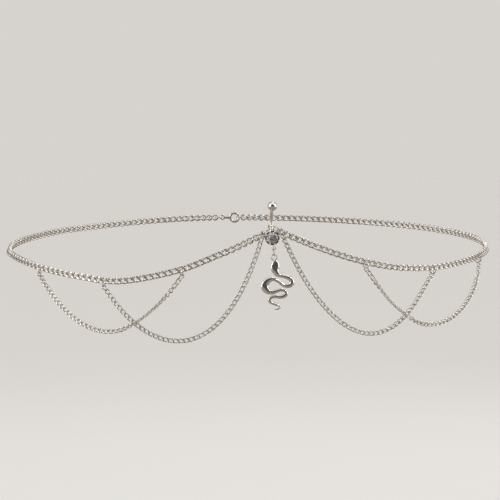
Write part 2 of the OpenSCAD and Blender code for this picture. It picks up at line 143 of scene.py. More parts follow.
@dataclass(frozen=True)
class LinkForm:
    """One curb link."""

    wire: float
    pitch: float
    width: float
    twist: float = 34.0
    play: float = 0.09

    @property
    def half_w(self) -> float:
        """Half width of the wire's centre line, in a link end's own plane."""
        return (self.width - self.wire) / 2 / math.cos(math.radians(self.twist))

    @property
    def half_l(self) -> float:
        """Half length of the wire's centre line."""
        return (self.pitch + self.wire + self.play + GAP) / 2


MAIN_LINK = LinkForm(wire=0.98, pitch=3.6, width=3.5)
SWAG_LINK = LinkForm(wire=0.65, pitch=2.8, width=2.5)


@dataclass(frozen=True)
class RingForm:
    """A round ring: mean radius and wire."""

    radius: float
    wire: float


@dataclass(frozen=True)
class Route:
    """Chosen points of one side, in degrees from the front and height.

    The main chain passes through all of drop, a swag's curve bends toward its two
    middle points, and cross is where the outer swag passes over the inner one.
    """

    drop: Tuple[Pair, ...]
    inner: Tuple[Pair, Pair]
    outer: Tuple[Pair, Pair]
    cross: float


ROUTES = {
    Side.LEFT: Route(drop=((1.8, 0.4), (11.5, -8.9), (20.3, -17.2), (34.2, -23.4), (45.4, -21.3),
                           (60.3, -16.8), (72.2, -13.0), (95.0, -7.5), (135.0, 2.0), (180.0, 8.0)),
                     inner=((12.9, -97.1), (31.6, -40.6)),
                     outer=((32.5, -69.2), (40.6, -51.3)), cross=29.1),
    Side.RIGHT: Route(drop=((2.2, 3.1), (11.4, -5.6), (20.8, -12.6), (31.3, -16.7), (44.1, -16.8),
                            (66.2, -11.5), (100.0, -2.3), (140.0, 5.0), (180.0, 8.0)),
                      inner=((19.25, -96.2), (32.05, -34.5)),
                      outer=((26.5, -28.7), (31.3, -82.2)), cross=30.5),
}


@dataclass(frozen=True)
class RingRule:
    """How a front ring sits on the bar, and where the chains hook it, in degrees."""

    height: float
    fall: float
    main_on: float
    swag_on: float


RING_RULES = {
    Side.LEFT: RingRule(height=4.2, fall=26.0, main_on=-25.0, swag_on=31.5),
    Side.RIGHT: RingRule(height=5.7, fall=22.0, main_on=-24.0, swag_on=14.0),
}


@dataclass(frozen=True)
class BarForm:
    """The navel bar's arc, in the plane x = 0."""

    radius: float = 12.0
    wire: float = 1.6
    back: float = 92.3
    mid_z: float = 6.87

    def at(self, degrees: float) -> Array:
        """A point of the bar's centre line.

        Args:
            degrees: Angle from the arc's rearmost point, upward.

        Returns:
            The point.
        """
        a = math.radians(degrees)
        return np.array([0.0, -(self.back + self.radius - self.radius * math.cos(a)),
                         self.mid_z + self.radius * math.sin(a)])

    def angle(self, z: float) -> float:
        """Angle of the bar at a height, in degrees."""
        return math.degrees(math.asin((z - self.mid_z) / self.radius))


@dataclass
class Placing:
    """A place and three axes."""

    p: Array
    x: Array
    y: Array
    z: Array

    def matrix(self) -> Array:
        """Four by four matrix, in millimetres.

        Returns:
            The matrix.
        """
        m = np.eye(4)
        m[:3, 0], m[:3, 1], m[:3, 2], m[:3, 3] = self.x, self.y, self.z, self.p
        return m


@dataclass
class Layout:
    """Where every link and ring of the waist chain lies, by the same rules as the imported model.

    slack is added between hooked wires, and facing is how far a swag's flat turns to
    the front. hook_first and hook_step count links to the swags' rings. lead_in is
    how many degrees, or links, a chain takes to settle from its end.
    """

    loop: LoopForm = LoopForm()
    bar: BarForm = BarForm()
    front_ring: RingForm = RingForm(3.5, 0.8)
    hook_ring: RingForm = RingForm(1.7, 0.6)
    slack: float = 0.05
    facing: float = 0.92
    hook_first: int = 14
    hook_step: int = 12
    links_drawn: int = 50
    front_tip: float = 16.0
    hook_turn: float = 56.0
    hook_rise: float = 0.03
    cross_lift: float = 2.7
    cross_width: float = 3.6
    lead_in: float = 9.0
    end_power: int = 9
    probe: float = 0.6
    steps: int = 240

    def __post_init__(self) -> None:
        """Work out each side's shift to its front ring, its lengths and its first link."""
        self.shift: Dict[Side, Array] = {}
        self.run: Dict[Side, Tuple[Array, Array]] = {}
        self.lead: Dict[Side, float] = {}
        self.first_roll: Dict[Side, float] = {}
        for side in Side:
            rule = RING_RULES[side]
            a0 = ROUTES[side].drop[0][0]
            self.shift[side] = self.front_at(side, rule.main_on) - self.plain_main(side, a0)
            angles = np.linspace(a0, 180.0, self.steps + 1)
            points = np.array([self.main_at(side, a) for a in angles])
            along = np.concatenate([[0.0], np.cumsum(np.linalg.norm(np.diff(points, axis=0), axis=1))])
            self.run[side] = (along, angles)
            wire = self.front_along(side, rule.main_on)
            start = self.main_dir(side, 1.0)
            self.lead[side] = MAIN_LINK.half_l - self.nest(MAIN_LINK.wire, self.front_ring.wire, start, wire)
            s = self.link_s(side, 0)
            x = self.main_dir(side, s)
            self.first_roll[side] = self.roll_between(
                x, self.base_y(self.main_point(side, s), x), self.end_y(x, -1, wire, MAIN_LINK.twist))

    def nest(self, wire_a: float, wire_b: float, x: Array, along: Array) -> float:
        """How far apart the centres of two hooked wires stand, for a pull x on a wire that runs along."""
        return ((wire_a + wire_b) / 2 + GAP + self.slack) / float(np.linalg.norm(np.cross(x, along)))

    def front_frame(self, side: Side) -> Placing:
        """Centre and axes of a ring on the bar.

        Args:
            side: Side of the loop.

        Returns:
            Its placing; z is the ring's normal.
        """
        rule = RING_RULES[side]
        t, fall, tip = self.bar.angle(rule.height), math.radians(rule.fall), math.radians(self.front_tip)
        e = np.array([side.value * math.cos(fall), 0.0, -math.sin(fall)])
        up = np.array([side.value * math.sin(fall), 0.0, math.cos(fall)])
        q = np.array([0.0, -math.cos(tip), 0.0]) + up * math.sin(tip)
        bar_dir = np.array([0.0, -math.sin(math.radians(t)), math.cos(math.radians(t))])
        near = self.nest(self.bar.wire, self.front_ring.wire, e, bar_dir)
        return Placing(self.bar.at(t) + e * (self.front_ring.radius - near), e, q, np.cross(e, q))

    def front_at(self, side: Side, degrees: float) -> Array:
        """A point of a front ring's centre line, at an angle from its outer end."""
        f, a = self.front_frame(side), math.radians(degrees)
        return f.p + self.front_ring.radius * (math.cos(a) * f.x + math.sin(a) * f.y)

    def front_along(self, side: Side, degrees: float) -> Array:
        """The front ring's direction at an angle from its outer end."""
        f, a = self.front_frame(side), math.radians(degrees)
        return -math.sin(a) * f.x + math.cos(a) * f.y

    def height(self, side: Side, degrees: float) -> float:
        """Height of the main chain at an angle.

        Args:
            side: Side of the loop.
            degrees: Angle from the front.

        Returns:
            Height.
        """
        p = ROUTES[side].drop
        i = max([k for k in range(len(p) - 1) if k == 0 or p[k][0] <= degrees])
        h = p[i + 1][0] - p[i][0]
        t = (degrees - p[i][0]) / h
        u = 1 - t
        return (p[i][1] * (1 + 2 * t) * u * u + self.slope(side, i) * h * t * u * u
                + p[i + 1][1] * (3 - 2 * t) * t * t - self.slope(side, i + 1) * h * u * t * t)

    @staticmethod
    def slope(side: Side, i: int) -> float:
        """Slope of the main chain's height at a chosen point.

        Args:
            side: Side of the loop.
            i: Which point.

        Returns:
            Height for each degree; level at the last point.
        """
        p = ROUTES[side].drop
        if i == len(p) - 1:
            return 0.0
        a, b = max(0, i - 1), i + 1
        return (p[b][1] - p[a][1]) / (p[b][0] - p[a][0])

    def plain_main(self, side: Side, degrees: float) -> Array:
        """Main chain on the bare surface, at an angle from the front."""
        return self.loop.point(side, degrees, self.height(side, degrees))

    def main_at(self, side: Side, degrees: float) -> Array:
        """Main chain, led to its front ring, at an angle from the front."""
        a0 = ROUTES[side].drop[0][0]
        return self.plain_main(side, degrees) + self.shift[side] * (1 - ease((degrees - a0) / self.lead_in))

    def main_length(self, side: Side) -> float:
        """Length of one side's main chain."""
        return float(self.run[side][0][-1])

    def main_point(self, side: Side, s: float) -> Array:
        """Main chain at a length from the front ring."""
        along, angles = self.run[side]
        return self.main_at(side, float(np.interp(s, along, angles)))

    def main_dir(self, side: Side, s: float) -> Array:
        """Direction of the main chain at a length from the front ring."""
        return unit(self.main_point(side, s + self.probe) - self.main_point(side, max(0.0, s - self.probe)))

    def link_s(self, side: Side, k: int) -> float:
        """Length at which the middle of link k lies, with link 0 on the front ring."""
        return self.lead[side] + k * MAIN_LINK.pitch

    def base_y(self, p: Array, x: Array) -> Array:
        """Across direction of a link at p that points along x and lies flat on the waist."""
        return unit(np.cross(self.loop.outward(p), x))

    def swag_y(self, p: Array, x: Array) -> Array:
        """Across direction of a swag's link at p that points along x, its flat leaning to the front."""
        face = (1 - self.facing) * self.loop.outward(p) + self.facing * np.array([0.0, -1.0, 0.0])
        return unit(np.cross(face, x))

    @staticmethod
    def end_y(x: Array, end: int, along: Array, twist: float) -> Array:
        """Across direction of a link whose far end, 1, or near end, -1, hooks a wire squarely."""
        return turned(unit(np.cross(x, along)), x, end * -twist)

    @staticmethod
    def roll_between(x: Array, y0: Array, y1: Array) -> float:
        """Degrees about x from y0 to y1, between -90 and 90, a link being alike after half a turn."""
        a = math.degrees(math.atan2(np.cross(y0, y1) @ x, y0 @ y1))
        return a - 180 if a > 90 else (a + 180 if a < -90 else a)

    def main_frame(self, side: Side, k: int) -> Placing:
        """Place of a main link.

        Args:
            side: Side of the loop.
            k: Link, from 0 at the front ring.

        Returns:
            Its placing.
        """
        s = self.link_s(side, k)
        p, x = self.main_point(side, s), self.main_dir(side, s)
        y = turned(self.base_y(p, x), x, self.first_roll[side] * (1 - ease(k / self.lead_in)))
        return Placing(p, x, y, np.cross(x, y))

    def hook_link(self, side: Side, n: int) -> int:
        """The main link that ring n of the swags hangs from, with n from 1 and links from 0."""
        return self.hook_first + (side is Side.RIGHT) + (n - 1) * self.hook_step - 1

    def hook_frame(self, side: Side, n: int) -> Placing:
        """Place of a ring that carries a swag.

        Args:
            side: Side of the loop.
            n: Which ring, from 1.

        Returns:
            Its placing: x points down, z is the normal.
        """
        f = self.main_frame(side, self.hook_link(side, n))
        down = -f.y if f.y[2] > 0 else f.y
        c = f.p + down * (self.hook_ring.radius - self.hook_rise)
        x = f.x * (1 if f.x[0] > 0 else -1)
        z = f.z * (1 if f.z @ self.loop.outward(f.p) > 0 else -1)
        t = math.radians(self.hook_turn)
        normal = unit(z * math.cos(t) - x * math.sin(t))
        return Placing(c, down, np.cross(normal, down), normal)

    def hook_low(self, side: Side, n: int) -> Array:
        """Lowest point of ring n's centre line."""
        f = self.hook_frame(side, n)
        return f.p + f.x * self.hook_ring.radius

    def swag_ends(self, side: Side, swag: Swag) -> Tuple[Array, Array]:
        """The two carriers' wire points.

        Args:
            side: Side of the loop.
            swag: Which swag.

        Returns:
            Start and stop.
        """
        if swag is Swag.OUTER:
            return self.hook_low(side, 1), self.hook_low(side, 3)
        return self.front_at(side, RING_RULES[side].swag_on), self.hook_low(side, 2)

    def swag_line(self, side: Side, swag: Swag) -> Callable[[float], Array]:
        """Centre line of a swag.

        Args:
            side: Side of the loop.
            swag: Which swag.

        Returns:
            A function from 0..1 to a point.
        """
        a, b = self.swag_ends(side, swag)
        route = ROUTES[side]
        m0, m1 = (np.array(q) for q in (route.outer if swag is Swag.OUTER else route.inner))
        p0, p3 = self.loop.polar(side, a), self.loop.polar(side, b)

        def on(t: float) -> Array:
            """The swag on the bare surface, lifted where it passes over the other."""
            u = 1 - t
            q = p0 * u ** 3 + 3 * m0 * u * u * t + 3 * m1 * u * t * t + p3 * t ** 3
            p = self.loop.point(side, q[0], q[1])
            if swag is Swag.OUTER:
                g = (q[0] - route.cross) / self.cross_width
                p = p + self.loop.outward(p) * self.cross_lift * math.exp(-g * g)
            return p

        at0, at1, power = a - on(0.0), b - on(1.0), self.end_power
        return lambda t: on(t) + at0 * (1 - t) ** power + at1 * t ** power


# Meshes
def sweep_rings(line: Array, across: Array, up: Array, section: Array) -> Array:
    """Rings of a swept section.

    Args:
        line: Points of the centre line, n by 3.
        across: Unit directions of the section's first axis, n by 3.
        up: Unit directions of its second axis, n by 3.
        section: Section points, n by m by 2.

    Returns:
        Points, n by m by 3.
    """
    return line[:, None, :] + section[..., :1] * across[:, None, :] + section[..., 1:] * up[:, None, :]


def ring_quads(n: int, m: int, closed: bool) -> Array:
    """Faces between rings.

    Args:
        n: Rings.
        m: Points a ring.
        closed: Whether the last ring joins the first.

    Returns:
        Quads of point numbers.
    """
    i = np.arange(n if closed else n - 1)[:, None]
    j = np.arange(m)[None, :]
    a, b = i * m + j, i * m + (j + 1) % m
    c, d = ((i + 1) % n) * m + (j + 1) % m, ((i + 1) % n) * m + j
    return np.stack([a + 0 * b, b + 0 * a, c, d], axis=-1).reshape(-1, 4)


def make_object(name: str, points: Array, quads: Array,
                caps: Sequence[Sequence[int]] = ()) -> bpy.types.Object:
    """Make a smooth mesh object from millimetre points.

    Args:
        name: Object name.
        points: Points, n by 3.
        quads: Quads of point numbers.
        caps: Further faces.

    Returns:
        The object, linked to the scene.
    """
    mesh = bpy.data.meshes.new(name)
    mesh.from_pydata((points * MM).tolist(), [], quads.tolist() + [list(c) for c in caps])
    mesh.update()
    mesh.polygons.foreach_set("use_smooth", [True] * len(mesh.polygons))
    obj = bpy.data.objects.new(name, mesh)
    bpy.context.scene.collection.objects.link(obj)
    return obj


@dataclass
class CurbLink:
    """Mesh of one curb link: twisted one way at one end and the other way at the other.

    Its faces are ground flat at the share "flat" of its height.
    """

    form: LinkForm
    around: int = 40
    wire_sides: int = 12
    flat: float = 0.86

    def centre_line(self) -> Array:
        """Closed centre line of the wire.

        Returns:
            Points, n by 3.
        """
        hw, s = self.form.half_w, self.form.half_l - self.form.half_w
        tw = math.radians(self.form.twist)
        rise = 2 * hw * math.sin(tw)
        bend = (s * s + rise * rise / 4) / rise
        a = np.linspace(-math.pi / 2, math.pi / 2, self.around // 4 + 1)
        lift = hw * np.sin(a)
        end = np.stack([s + hw * np.cos(a), lift * math.cos(tw), lift * math.sin(tw)], axis=-1)
        x = s * np.cos(np.linspace(0, math.pi, self.around // 4 + 1)[1:-1])
        z = rise / 2 - bend + np.sqrt(np.maximum(0.0, bend * bend - (s - np.abs(x)) ** 2))
        side = np.stack([x, np.full(len(x), hw * math.cos(tw)), np.copysign(z, x)], axis=-1)
        half = np.concatenate([end, side])
        return np.concatenate([half, half * (-1, -1, 1)])

    def mesh(self) -> Tuple[Array, Array]:
        """Points and faces of one link.

        Returns:
            Points and quads.
        """
        line = self.centre_line()
        ahead, behind = np.roll(line, -1, axis=0), np.roll(line, 1, axis=0)
        t = ahead - behind
        t /= np.linalg.norm(t, axis=1)[:, None]
        out = line - (line * t).sum(axis=1)[:, None] * t
        out /= np.linalg.norm(out, axis=1)[:, None]
        up = np.cross(t, out)
        a = np.linspace(0, 2 * math.pi, self.wire_sides, endpoint=False)
        r = self.form.wire / 2
        section = np.broadcast_to(np.stack([r * np.cos(a), r * np.sin(a)], axis=-1), (len(line), len(a), 2))
        pts = sweep_rings(line, out, up, section).reshape(-1, 3)
        top = pts[:, 2].max() * self.flat
        pts[:, 2] = np.clip(pts[:, 2], -top, top)
        return pts, ring_quads(len(line), self.wire_sides, True)


def joined_links(name: str, link: CurbLink, places: Sequence[Placing]) -> bpy.types.Object:
    """Make one mesh of many links.

    Args:
        name: Object name.
        link: The link's mesh maker.
        places: A placing for each link.

    Returns:
        The object.
    """
    pts, quads = link.mesh()
    all_pts, all_quads = [], []
    for k, place in enumerate(places):
        m = place.matrix()
        all_pts.append(pts @ m[:3, :3].T + m[:3, 3])
        all_quads.append(quads + k * len(pts))
    return make_object(name, np.concatenate(all_pts), np.concatenate(all_quads))


# Finishes
@dataclass(frozen=True)
class Span:
    """A change of level, from low at start to high at stop."""

    start: float
    stop: float
    low: float
    high: float
    smooth: bool = True


@dataclass(frozen=True)
class Graph:
    """The nodes of one material or of the surround."""

    tree: bpy.types.NodeTree

    def fill(self, node: bpy.types.Node, inputs: Dict[Union[str, int], object]) -> bpy.types.Node:
        """Set a node's inputs, or link those that are given a socket.

        Args:
            node: The node.
            inputs: Values and sockets by input name or number.

        Returns:
            The node.
        """
        for key, value in inputs.items():
            if isinstance(value, bpy.types.NodeSocket):
                self.tree.links.new(value, node.inputs[key])
            else:
                node.inputs[key].default_value = value
        return node

    def put(self, kind: str, inputs: Dict[Union[str, int], object]) -> bpy.types.Node:
        """Add a shader node and fill it; its kind is its type without the word ShaderNode."""
        return self.fill(self.tree.nodes.new(f"ShaderNode{kind}"), inputs)

    def place(self, kind: str = "Object") -> bpy.types.NodeSocket:
        """Texture coordinates, of the piece itself unless another kind is named."""
        return self.put("TexCoord", {}).outputs[kind]

    def combine(self, kind: str, a: object, b: object) -> bpy.types.NodeSocket:
        """Combine two levels.

        Args:
            kind: The operation.
            a: First value or socket.
            b: Second value or socket.

        Returns:
            The result.
        """
        node = self.put("Math", {0: a, 1: b})
        node.operation = kind
        return node.outputs[0]

    def level(self, source: bpy.types.NodeSocket, span: Span) -> bpy.types.NodeSocket:
        """Turn a value into a level.

        Args:
            source: The value.
            span: How the level changes with it.

        Returns:
            The level.
        """
        node = self.put("MapRange", {"Value": source, "From Min": span.start, "From Max": span.stop,
                                     "To Min": span.low, "To Max": span.high})
        node.interpolation_type = "SMOOTHSTEP" if span.smooth else "LINEAR"
        return node.outputs["Result"]

    def tones(self, source: bpy.types.NodeSocket, stops: Sequence[Tuple[float, Triple]],
              stepped: bool = False) -> bpy.types.NodeSocket:
        """Turn a value into colours.

        Args:
            source: The value.
            stops: Position and colour of each stop, two or more.
            stepped: Whether the colours change in steps.

        Returns:
            The colour.
        """
        node = self.put("ValToRGB", {"Fac": source})
        ramp = node.color_ramp
        ramp.interpolation = "CONSTANT" if stepped else "LINEAR"
        for k, (position, color) in enumerate(stops):
            stop = ramp.elements[k] if k < 2 else ramp.elements.new(position)
            stop.position, stop.color = position, (*color, 1)
        return node.outputs["Color"]


def new_material(name: str) -> Tuple[bpy.types.Material, Graph, bpy.types.Node]:
    """Start a node material.

    Args:
        name: Its name.

    Returns:
        The material, its nodes and its shader.
    """
    material = bpy.data.materials.new(name)
    material.use_nodes = True
    return material, Graph(material.node_tree), material.node_tree.nodes["Principled BSDF"]


def shaded(color: Triple, share: float) -> Triple:
    """Darken a colour to a share of itself."""
    return tuple(share * c for c in color)


@dataclass(frozen=True)
class MetalFinish:
    """Polished plated metal, slightly uneven in tone and gloss."""

    name: str
    # These default tones are the chain's silver, set darker than the bright silver: partly the metal's
    # colour, partly painted shade and painted reflection of a dim room
    light: Triple = (0.80, 0.77, 0.73)
    dull: Triple = (0.57, 0.54, 0.495)
    light_at: float = 0.62
    dull_at: float = 0.3
    rough: Span = Span(0.3, 0.7, 0.1, 0.22, smooth=False)
    bump: float = 0.05
    bump_height: float = 0.00003
    scale: float = 900.0
    detail: float = 4.0
    fineness: float = 3.0

    def build(self) -> bpy.types.Material:
        """Make the node material.

        Returns:
            The material.
        """
        material, graph, shader = new_material(self.name)
        place = graph.place()
        cloud = graph.put("TexNoise", {"Vector": place, "Scale": self.scale, "Detail": self.detail})
        fine = graph.put("TexNoise", {"Vector": place, "Scale": self.scale * self.fineness}).outputs["Fac"]
        bump = graph.put("Bump", {"Height": fine, "Strength": self.bump, "Distance": self.bump_height})
        stops = ((self.dull_at, self.dull), (self.light_at, self.light))
        graph.fill(shader, {
            "Metallic": 1.0,
            "Base Color": graph.tones(cloud.outputs["Fac"], stops),
            "Roughness": graph.level(fine, self.rough),
            "Normal": bump.outputs["Normal"]})
        return material


@dataclass(frozen=True)
class CrystalFinish:
    """Clear cut crystal over a bright foil. Its colour is painted in small cells of three tones, a painted
    facet reflection.
    """

    name: str = "crystal_clear"
    tint: Triple = (0.93, 0.90, 0.89)
    # dark and middle are shares of the tint for the painted facet reflections
    dark: float = 0.34
    middle: float = 0.66
    middle_at: float = 0.34
    light_at: float = 0.72
    facets: float = 760.0
    facet_bump: float = 0.8
    facet_height: float = 0.0005
    rough: float = 0.02
    ior: float = 1.77
    clear: float = 0.35
    foil: float = 0.45

    def build(self) -> bpy.types.Material:
        """Make the node material.

        Returns:
            The material.
        """
        material, graph, shader = new_material(self.name)
        facets = graph.put("TexVoronoi", {"Vector": graph.place(), "Scale": self.facets})
        split = graph.put("SeparateColor", {"Color": facets.outputs["Color"]})
        # The cells' dark, middle and light tones are painted facet reflections, not colours of the stone
        stops = ((0.0, shaded(self.tint, self.dark)), (self.middle_at, shaded(self.tint, self.middle)),
                 (self.light_at, self.tint))
        bump = graph.put("Bump", {"Height": facets.outputs["Distance"], "Strength": self.facet_bump,
                                  "Distance": self.facet_height})
        graph.fill(shader, {
            "Roughness": self.rough, "IOR": self.ior,
            "Transmission Weight": self.clear, "Metallic": self.foil,
            "Base Color": graph.tones(split.outputs["Red"], stops, stepped=True),
            "Normal": bump.outputs["Normal"]})
        return material


@dataclass(frozen=True)
class PaperFinish:
    """Plain pale floor."""

    name: str = "pale_floor"
    color: Triple = (0.90, 0.88, 0.85)
    dark: float = 0.985
    scale: float = 3.0
    rough: float = 0.9

    def build(self) -> bpy.types.Material:
        """Make the node material.

        Returns:
            The material.
        """
        material, graph, shader = new_material(self.name)
        cloud = graph.put("TexNoise", {"Vector": graph.place(), "Scale": self.scale})
        stops = ((0.0, shaded(self.color, self.dark)), (1.0, self.color))
        graph.fill(shader, {"Roughness": self.rough, "Specular IOR Level": 0.0,
                            "Base Color": graph.tones(cloud.outputs["Fac"], stops)})
        return material


@dataclass
class Finishes:
    """All materials of the scene."""

    chain: bpy.types.Material
    bright: bpy.types.Material
    crystal: bpy.types.Material
    floor: bpy.types.Material

    @classmethod
    def make(cls) -> "Finishes":
        """Build them.

        Returns:
            The finishes.
        """
        bright = MetalFinish("bright_silver", light=(0.86, 0.835, 0.80), dull=(0.70, 0.67, 0.63),
                             rough=Span(0.3, 0.7, 0.06, 0.16, smooth=False), bump=0.03, scale=500.0)
        # The chain silver is the bright silver's metal in a darker tone: painted shade
        return cls(chain=MetalFinish("chain_silver").build(), bright=bright.build(),
                   crystal=CrystalFinish().build(), floor=PaperFinish().build())


def dress(obj: bpy.types.Object, material: bpy.types.Material, body: str, node: str) -> None:
    """Finish a metal piece, tie it to its body and put it in a node's place.

    Args:
        obj: The piece.
        material: Its finish.
        body: The body that it moves with.
        node: The node that it replaces.
    """
    obj.data.materials.append(material)
    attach(obj, body)
    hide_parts(node)
    LOG.info("%s: %d faces", obj.name, len(obj.data.polygons))


# Sub-assemblies
@dataclass(frozen=True)
class ClaspForm:
    """The fastening at the back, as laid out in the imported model."""

    ring: RingForm = RingForm(2.0, 0.8)
    eye: RingForm = RingForm(1.2, 0.9)
    eye_x: float = -5.2
    claw: RingForm = RingForm(2.6, 1.6)
    claw_x: float = 2.2
    play: float = 0.16

    def ring_x(self, side: Side) -> float:
        """Place along X of the ring that a side's chain ends on.

        Args:
            side: Side of the loop.

        Returns:
            The place.
        """
        if side is Side.LEFT:
            return (self.eye_x - self.eye.radius + self.eye.wire / 2
                    + self.ring.wire / 2 + GAP - self.ring.radius)
        return (self.claw_x + self.claw.radius - self.claw.wire / 2
                - self.ring.wire / 2 - GAP + self.ring.radius)

    def last(self, side: Side) -> float:
        """Length from the loop's middle line to the last link's middle."""
        nest = self.ring.wire / 2 + MAIN_LINK.wire / 2 + GAP + self.play
        return self.ring.radius + side.value * self.ring_x(side) - nest + MAIN_LINK.half_l


@dataclass
class MainChain:
    """The curb chain round the waist."""

    layout: Layout
    finish: bpy.types.Material
    clasp: ClaspForm = ClaspForm()

    def front_places(self, side: Side) -> List[Placing]:
        """Placings of the links from the bar to past the hip."""
        return [self.layout.main_frame(side, k) for k in range(self.layout.links_drawn)]

    def back_places(self, side: Side) -> List[Placing]:
        """Placings of the links round the back, spread evenly up to the ring that ends them.

        Args:
            side: Side of the loop.

        Returns:
            The placings.
        """
        lay = self.layout
        start, last = lay.link_s(side, lay.links_drawn), lay.main_length(side) - self.clasp.last(side)
        count = round((last - start) / MAIN_LINK.pitch)
        final = self.final_roll(side, last)
        out = []
        for k in range(count + 1):
            s = start + (last - start) * k / count
            p, x = lay.main_point(side, s), lay.main_dir(side, s)
            y = turned(lay.base_y(p, x), x, final * ease(1 - (count - k) / lay.lead_in))
            out.append(Placing(p, x, y, np.cross(x, y)))
        return out

    def final_roll(self, side: Side, last: float) -> float:
        """Roll of the last link, which hooks the ring at the back.

        Args:
            side: Side of the loop.
            last: Length at the last link's middle.

        Returns:
            Degrees.
        """
        lay = self.layout
        x = lay.main_dir(side, last)
        y1 = lay.end_y(x, 1, np.array([0.0, 1.0, 0.0]), MAIN_LINK.twist)
        return lay.roll_between(x, lay.base_y(lay.main_point(side, last), x), y1)

    def build(self) -> None:
        """Build the four stretches."""
        for side in Side:
            for stretch, places in (("", self.front_places(side)), ("back_", self.back_places(side))):
                node = f"chain_{stretch}{side.word}"
                links = joined_links(f"links_{node}", CurbLink(MAIN_LINK), places)
                dress(links, self.finish, "waist_chain", node)


@dataclass(frozen=True)
class TurnRule:
    """How an outer swag's links turn, in degrees: edge-on below the first hook, then flat again."""

    edge: float = -80.0
    edge_by: float = 6.0
    flat: float = -100.0
    flat_from: float = 10.0
    flat_over: float = 9.0

    def at(self, k: int) -> float:
        """Turn of link k, counted from the first hook."""
        return self.edge * ease(k / self.edge_by) + self.flat * ease((k - self.flat_from) / self.flat_over)


OUTER_TURN = TurnRule()


@dataclass
class SwagChains:
    """The four draped chains.

    The steps are the lengths along a swag over which the directions of its pull, of
    its end links and of its other links are taken. settle is how many links it
    takes, from either end, to lie freely.
    """

    layout: Layout
    finish: bpy.types.Material
    samples: int = 361
    pull_step: float = 2.0
    inner_step: float = 1.0
    outer_step: float = 0.8
    link_step: float = 0.9
    settle: float = 8.0

    def places(self, side: Side, swag: Swag) -> List[Placing]:
        """Placings of one swag's links.

        Args:
            side: Side of the loop.
            swag: Which swag.

        Returns:
            The placings.
        """
        lay, outer, wire = self.layout, swag is Swag.OUTER, SWAG_LINK.wire
        line = lay.swag_line(side, swag)
        ts = np.linspace(0, 1, self.samples)
        pts = np.array([line(t) for t in ts])
        along = np.concatenate([[0.0], np.cumsum(np.linalg.norm(np.diff(pts, axis=0), axis=1))])

        def at(s: float) -> Array:
            """The swag's point at a length."""
            return line(float(np.interp(s, along, ts)))

        along0 = lay.hook_frame(side, 1).y if outer else lay.front_along(side, RING_RULES[side].swag_on)
        along1 = lay.hook_frame(side, 3 if outer else 2).y
        total = along[-1]
        leave, arrive = unit(at(self.pull_step) - at(0.0)), unit(at(total) - at(total - self.pull_step))
        start_wire = lay.hook_ring.wire if outer else lay.front_ring.wire
        first = SWAG_LINK.half_l - lay.nest(wire, start_wire, leave, along0)
        last = total - SWAG_LINK.half_l + lay.nest(wire, lay.hook_ring.wire, arrive, along1)
        count = round((last - first) / SWAG_LINK.pitch)
        x0 = unit(at(first + self.inner_step) - at(first - self.outer_step))
        x1 = unit(at(last + self.outer_step) - at(last - self.inner_step))
        roll0 = lay.roll_between(x0, lay.swag_y(at(first), x0), lay.end_y(x0, -1, along0, SWAG_LINK.twist))
        roll1 = lay.roll_between(x1, lay.swag_y(at(last), x1), lay.end_y(x1, 1, along1, SWAG_LINK.twist))
        out = []
        for k in range(count + 1):
            s = first + (last - first) * k / count
            p = at(s)
            x = unit(at(s + self.link_step) - at(max(0.0, s - self.link_step)))
            roll = roll0 * (1 - ease(k / self.settle)) + roll1 * (1 - ease((count - k) / self.settle))
            y = turned(lay.swag_y(p, x), x, roll + (OUTER_TURN.at(k) if outer else 0.0))
            out.append(Placing(p, x, y, np.cross(x, y)))
        return out

    def build(self) -> None:
        """Build the four swags."""
        link = CurbLink(SWAG_LINK, around=36, wire_sides=10)
        for side in Side:
            for swag in Swag:
                node = f"swag_{swag.value}_{side.word}"
                links = joined_links(f"links_{node}", link, self.places(side, swag))
                dress(links, self.finish, "waist_chain", node)


@dataclass(frozen=True)
class SnakeForm:
    """The snake drop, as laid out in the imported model.

    Each spine row is across, down and width, drawn for a body as wide as drawn_widest.
    A narrow stretch is thinner too: its share of thick is edge at no width and grows
    by swell. The smooth body keeps the share rounding of its width, and its rear
    stands out by the share back of its front.
    """

    widest: float = 3.4
    drawn_widest: float = 3.4
    thick: float = 1.9
    rounding: float = 0.975
    edge: float = 0.35
    swell: float = 0.24
    back: float = 0.75
    eye: RingForm = RingForm(0.72, 0.6)
    place: Triple = (1.1, -96.3, -12.23)
    eye_z: float = -11.86
    spine: Tuple[Triple, ...] = (
        (0.4, 0.02, 0.9), (0.43, 0.12, 2.6), (0.55, 0.8, 3.7), (0.7, 1.7, 4.4), (0.6, 2.97, 4.9),
        (0.48, 4.36, 4.4), (0.8, 5.65, 3.8), (1.55, 6.8, 3.1), (2.8, 7.7, 2.4), (4.45, 8.2, 2.0),
        (6.4, 8.7, 2.1), (8.8, 9.7, 2.6), (9.7, 11.55, 2.8), (8.6, 13.15, 2.5), (6.4, 13.55, 2.0),
        (4.2, 12.5, 2.0), (2.2, 10.95, 2.0), (0.2, 9.9, 2.15), (-1.8, 9.85, 2.6), (-3.65, 10.95, 3.4),
        (-4.95, 12.9, 4.2), (-4.7, 14.95, 3.9), (-3.0, 16.5, 3.0), (-0.9, 16.9, 2.4), (1.2, 16.3, 2.0),
        (3.6, 15.6, 1.8), (5.7, 16.1, 1.8), (6.5, 17.5, 2.2), (5.4, 18.9, 2.2), (3.2, 19.4, 2.0),
        (0.9, 19.2, 1.8), (-1.2, 19.55, 1.7), (-2.45, 20.8, 2.0), (-1.55, 22.3, 1.9), (0.6, 23.2, 1.6),
        (2.4, 23.9, 1.3), (3.2, 24.9, 1.1), (2.1, 25.8, 0.85), (0.6, 26.1, 0.5), (0.45, 26.1, 0.15))


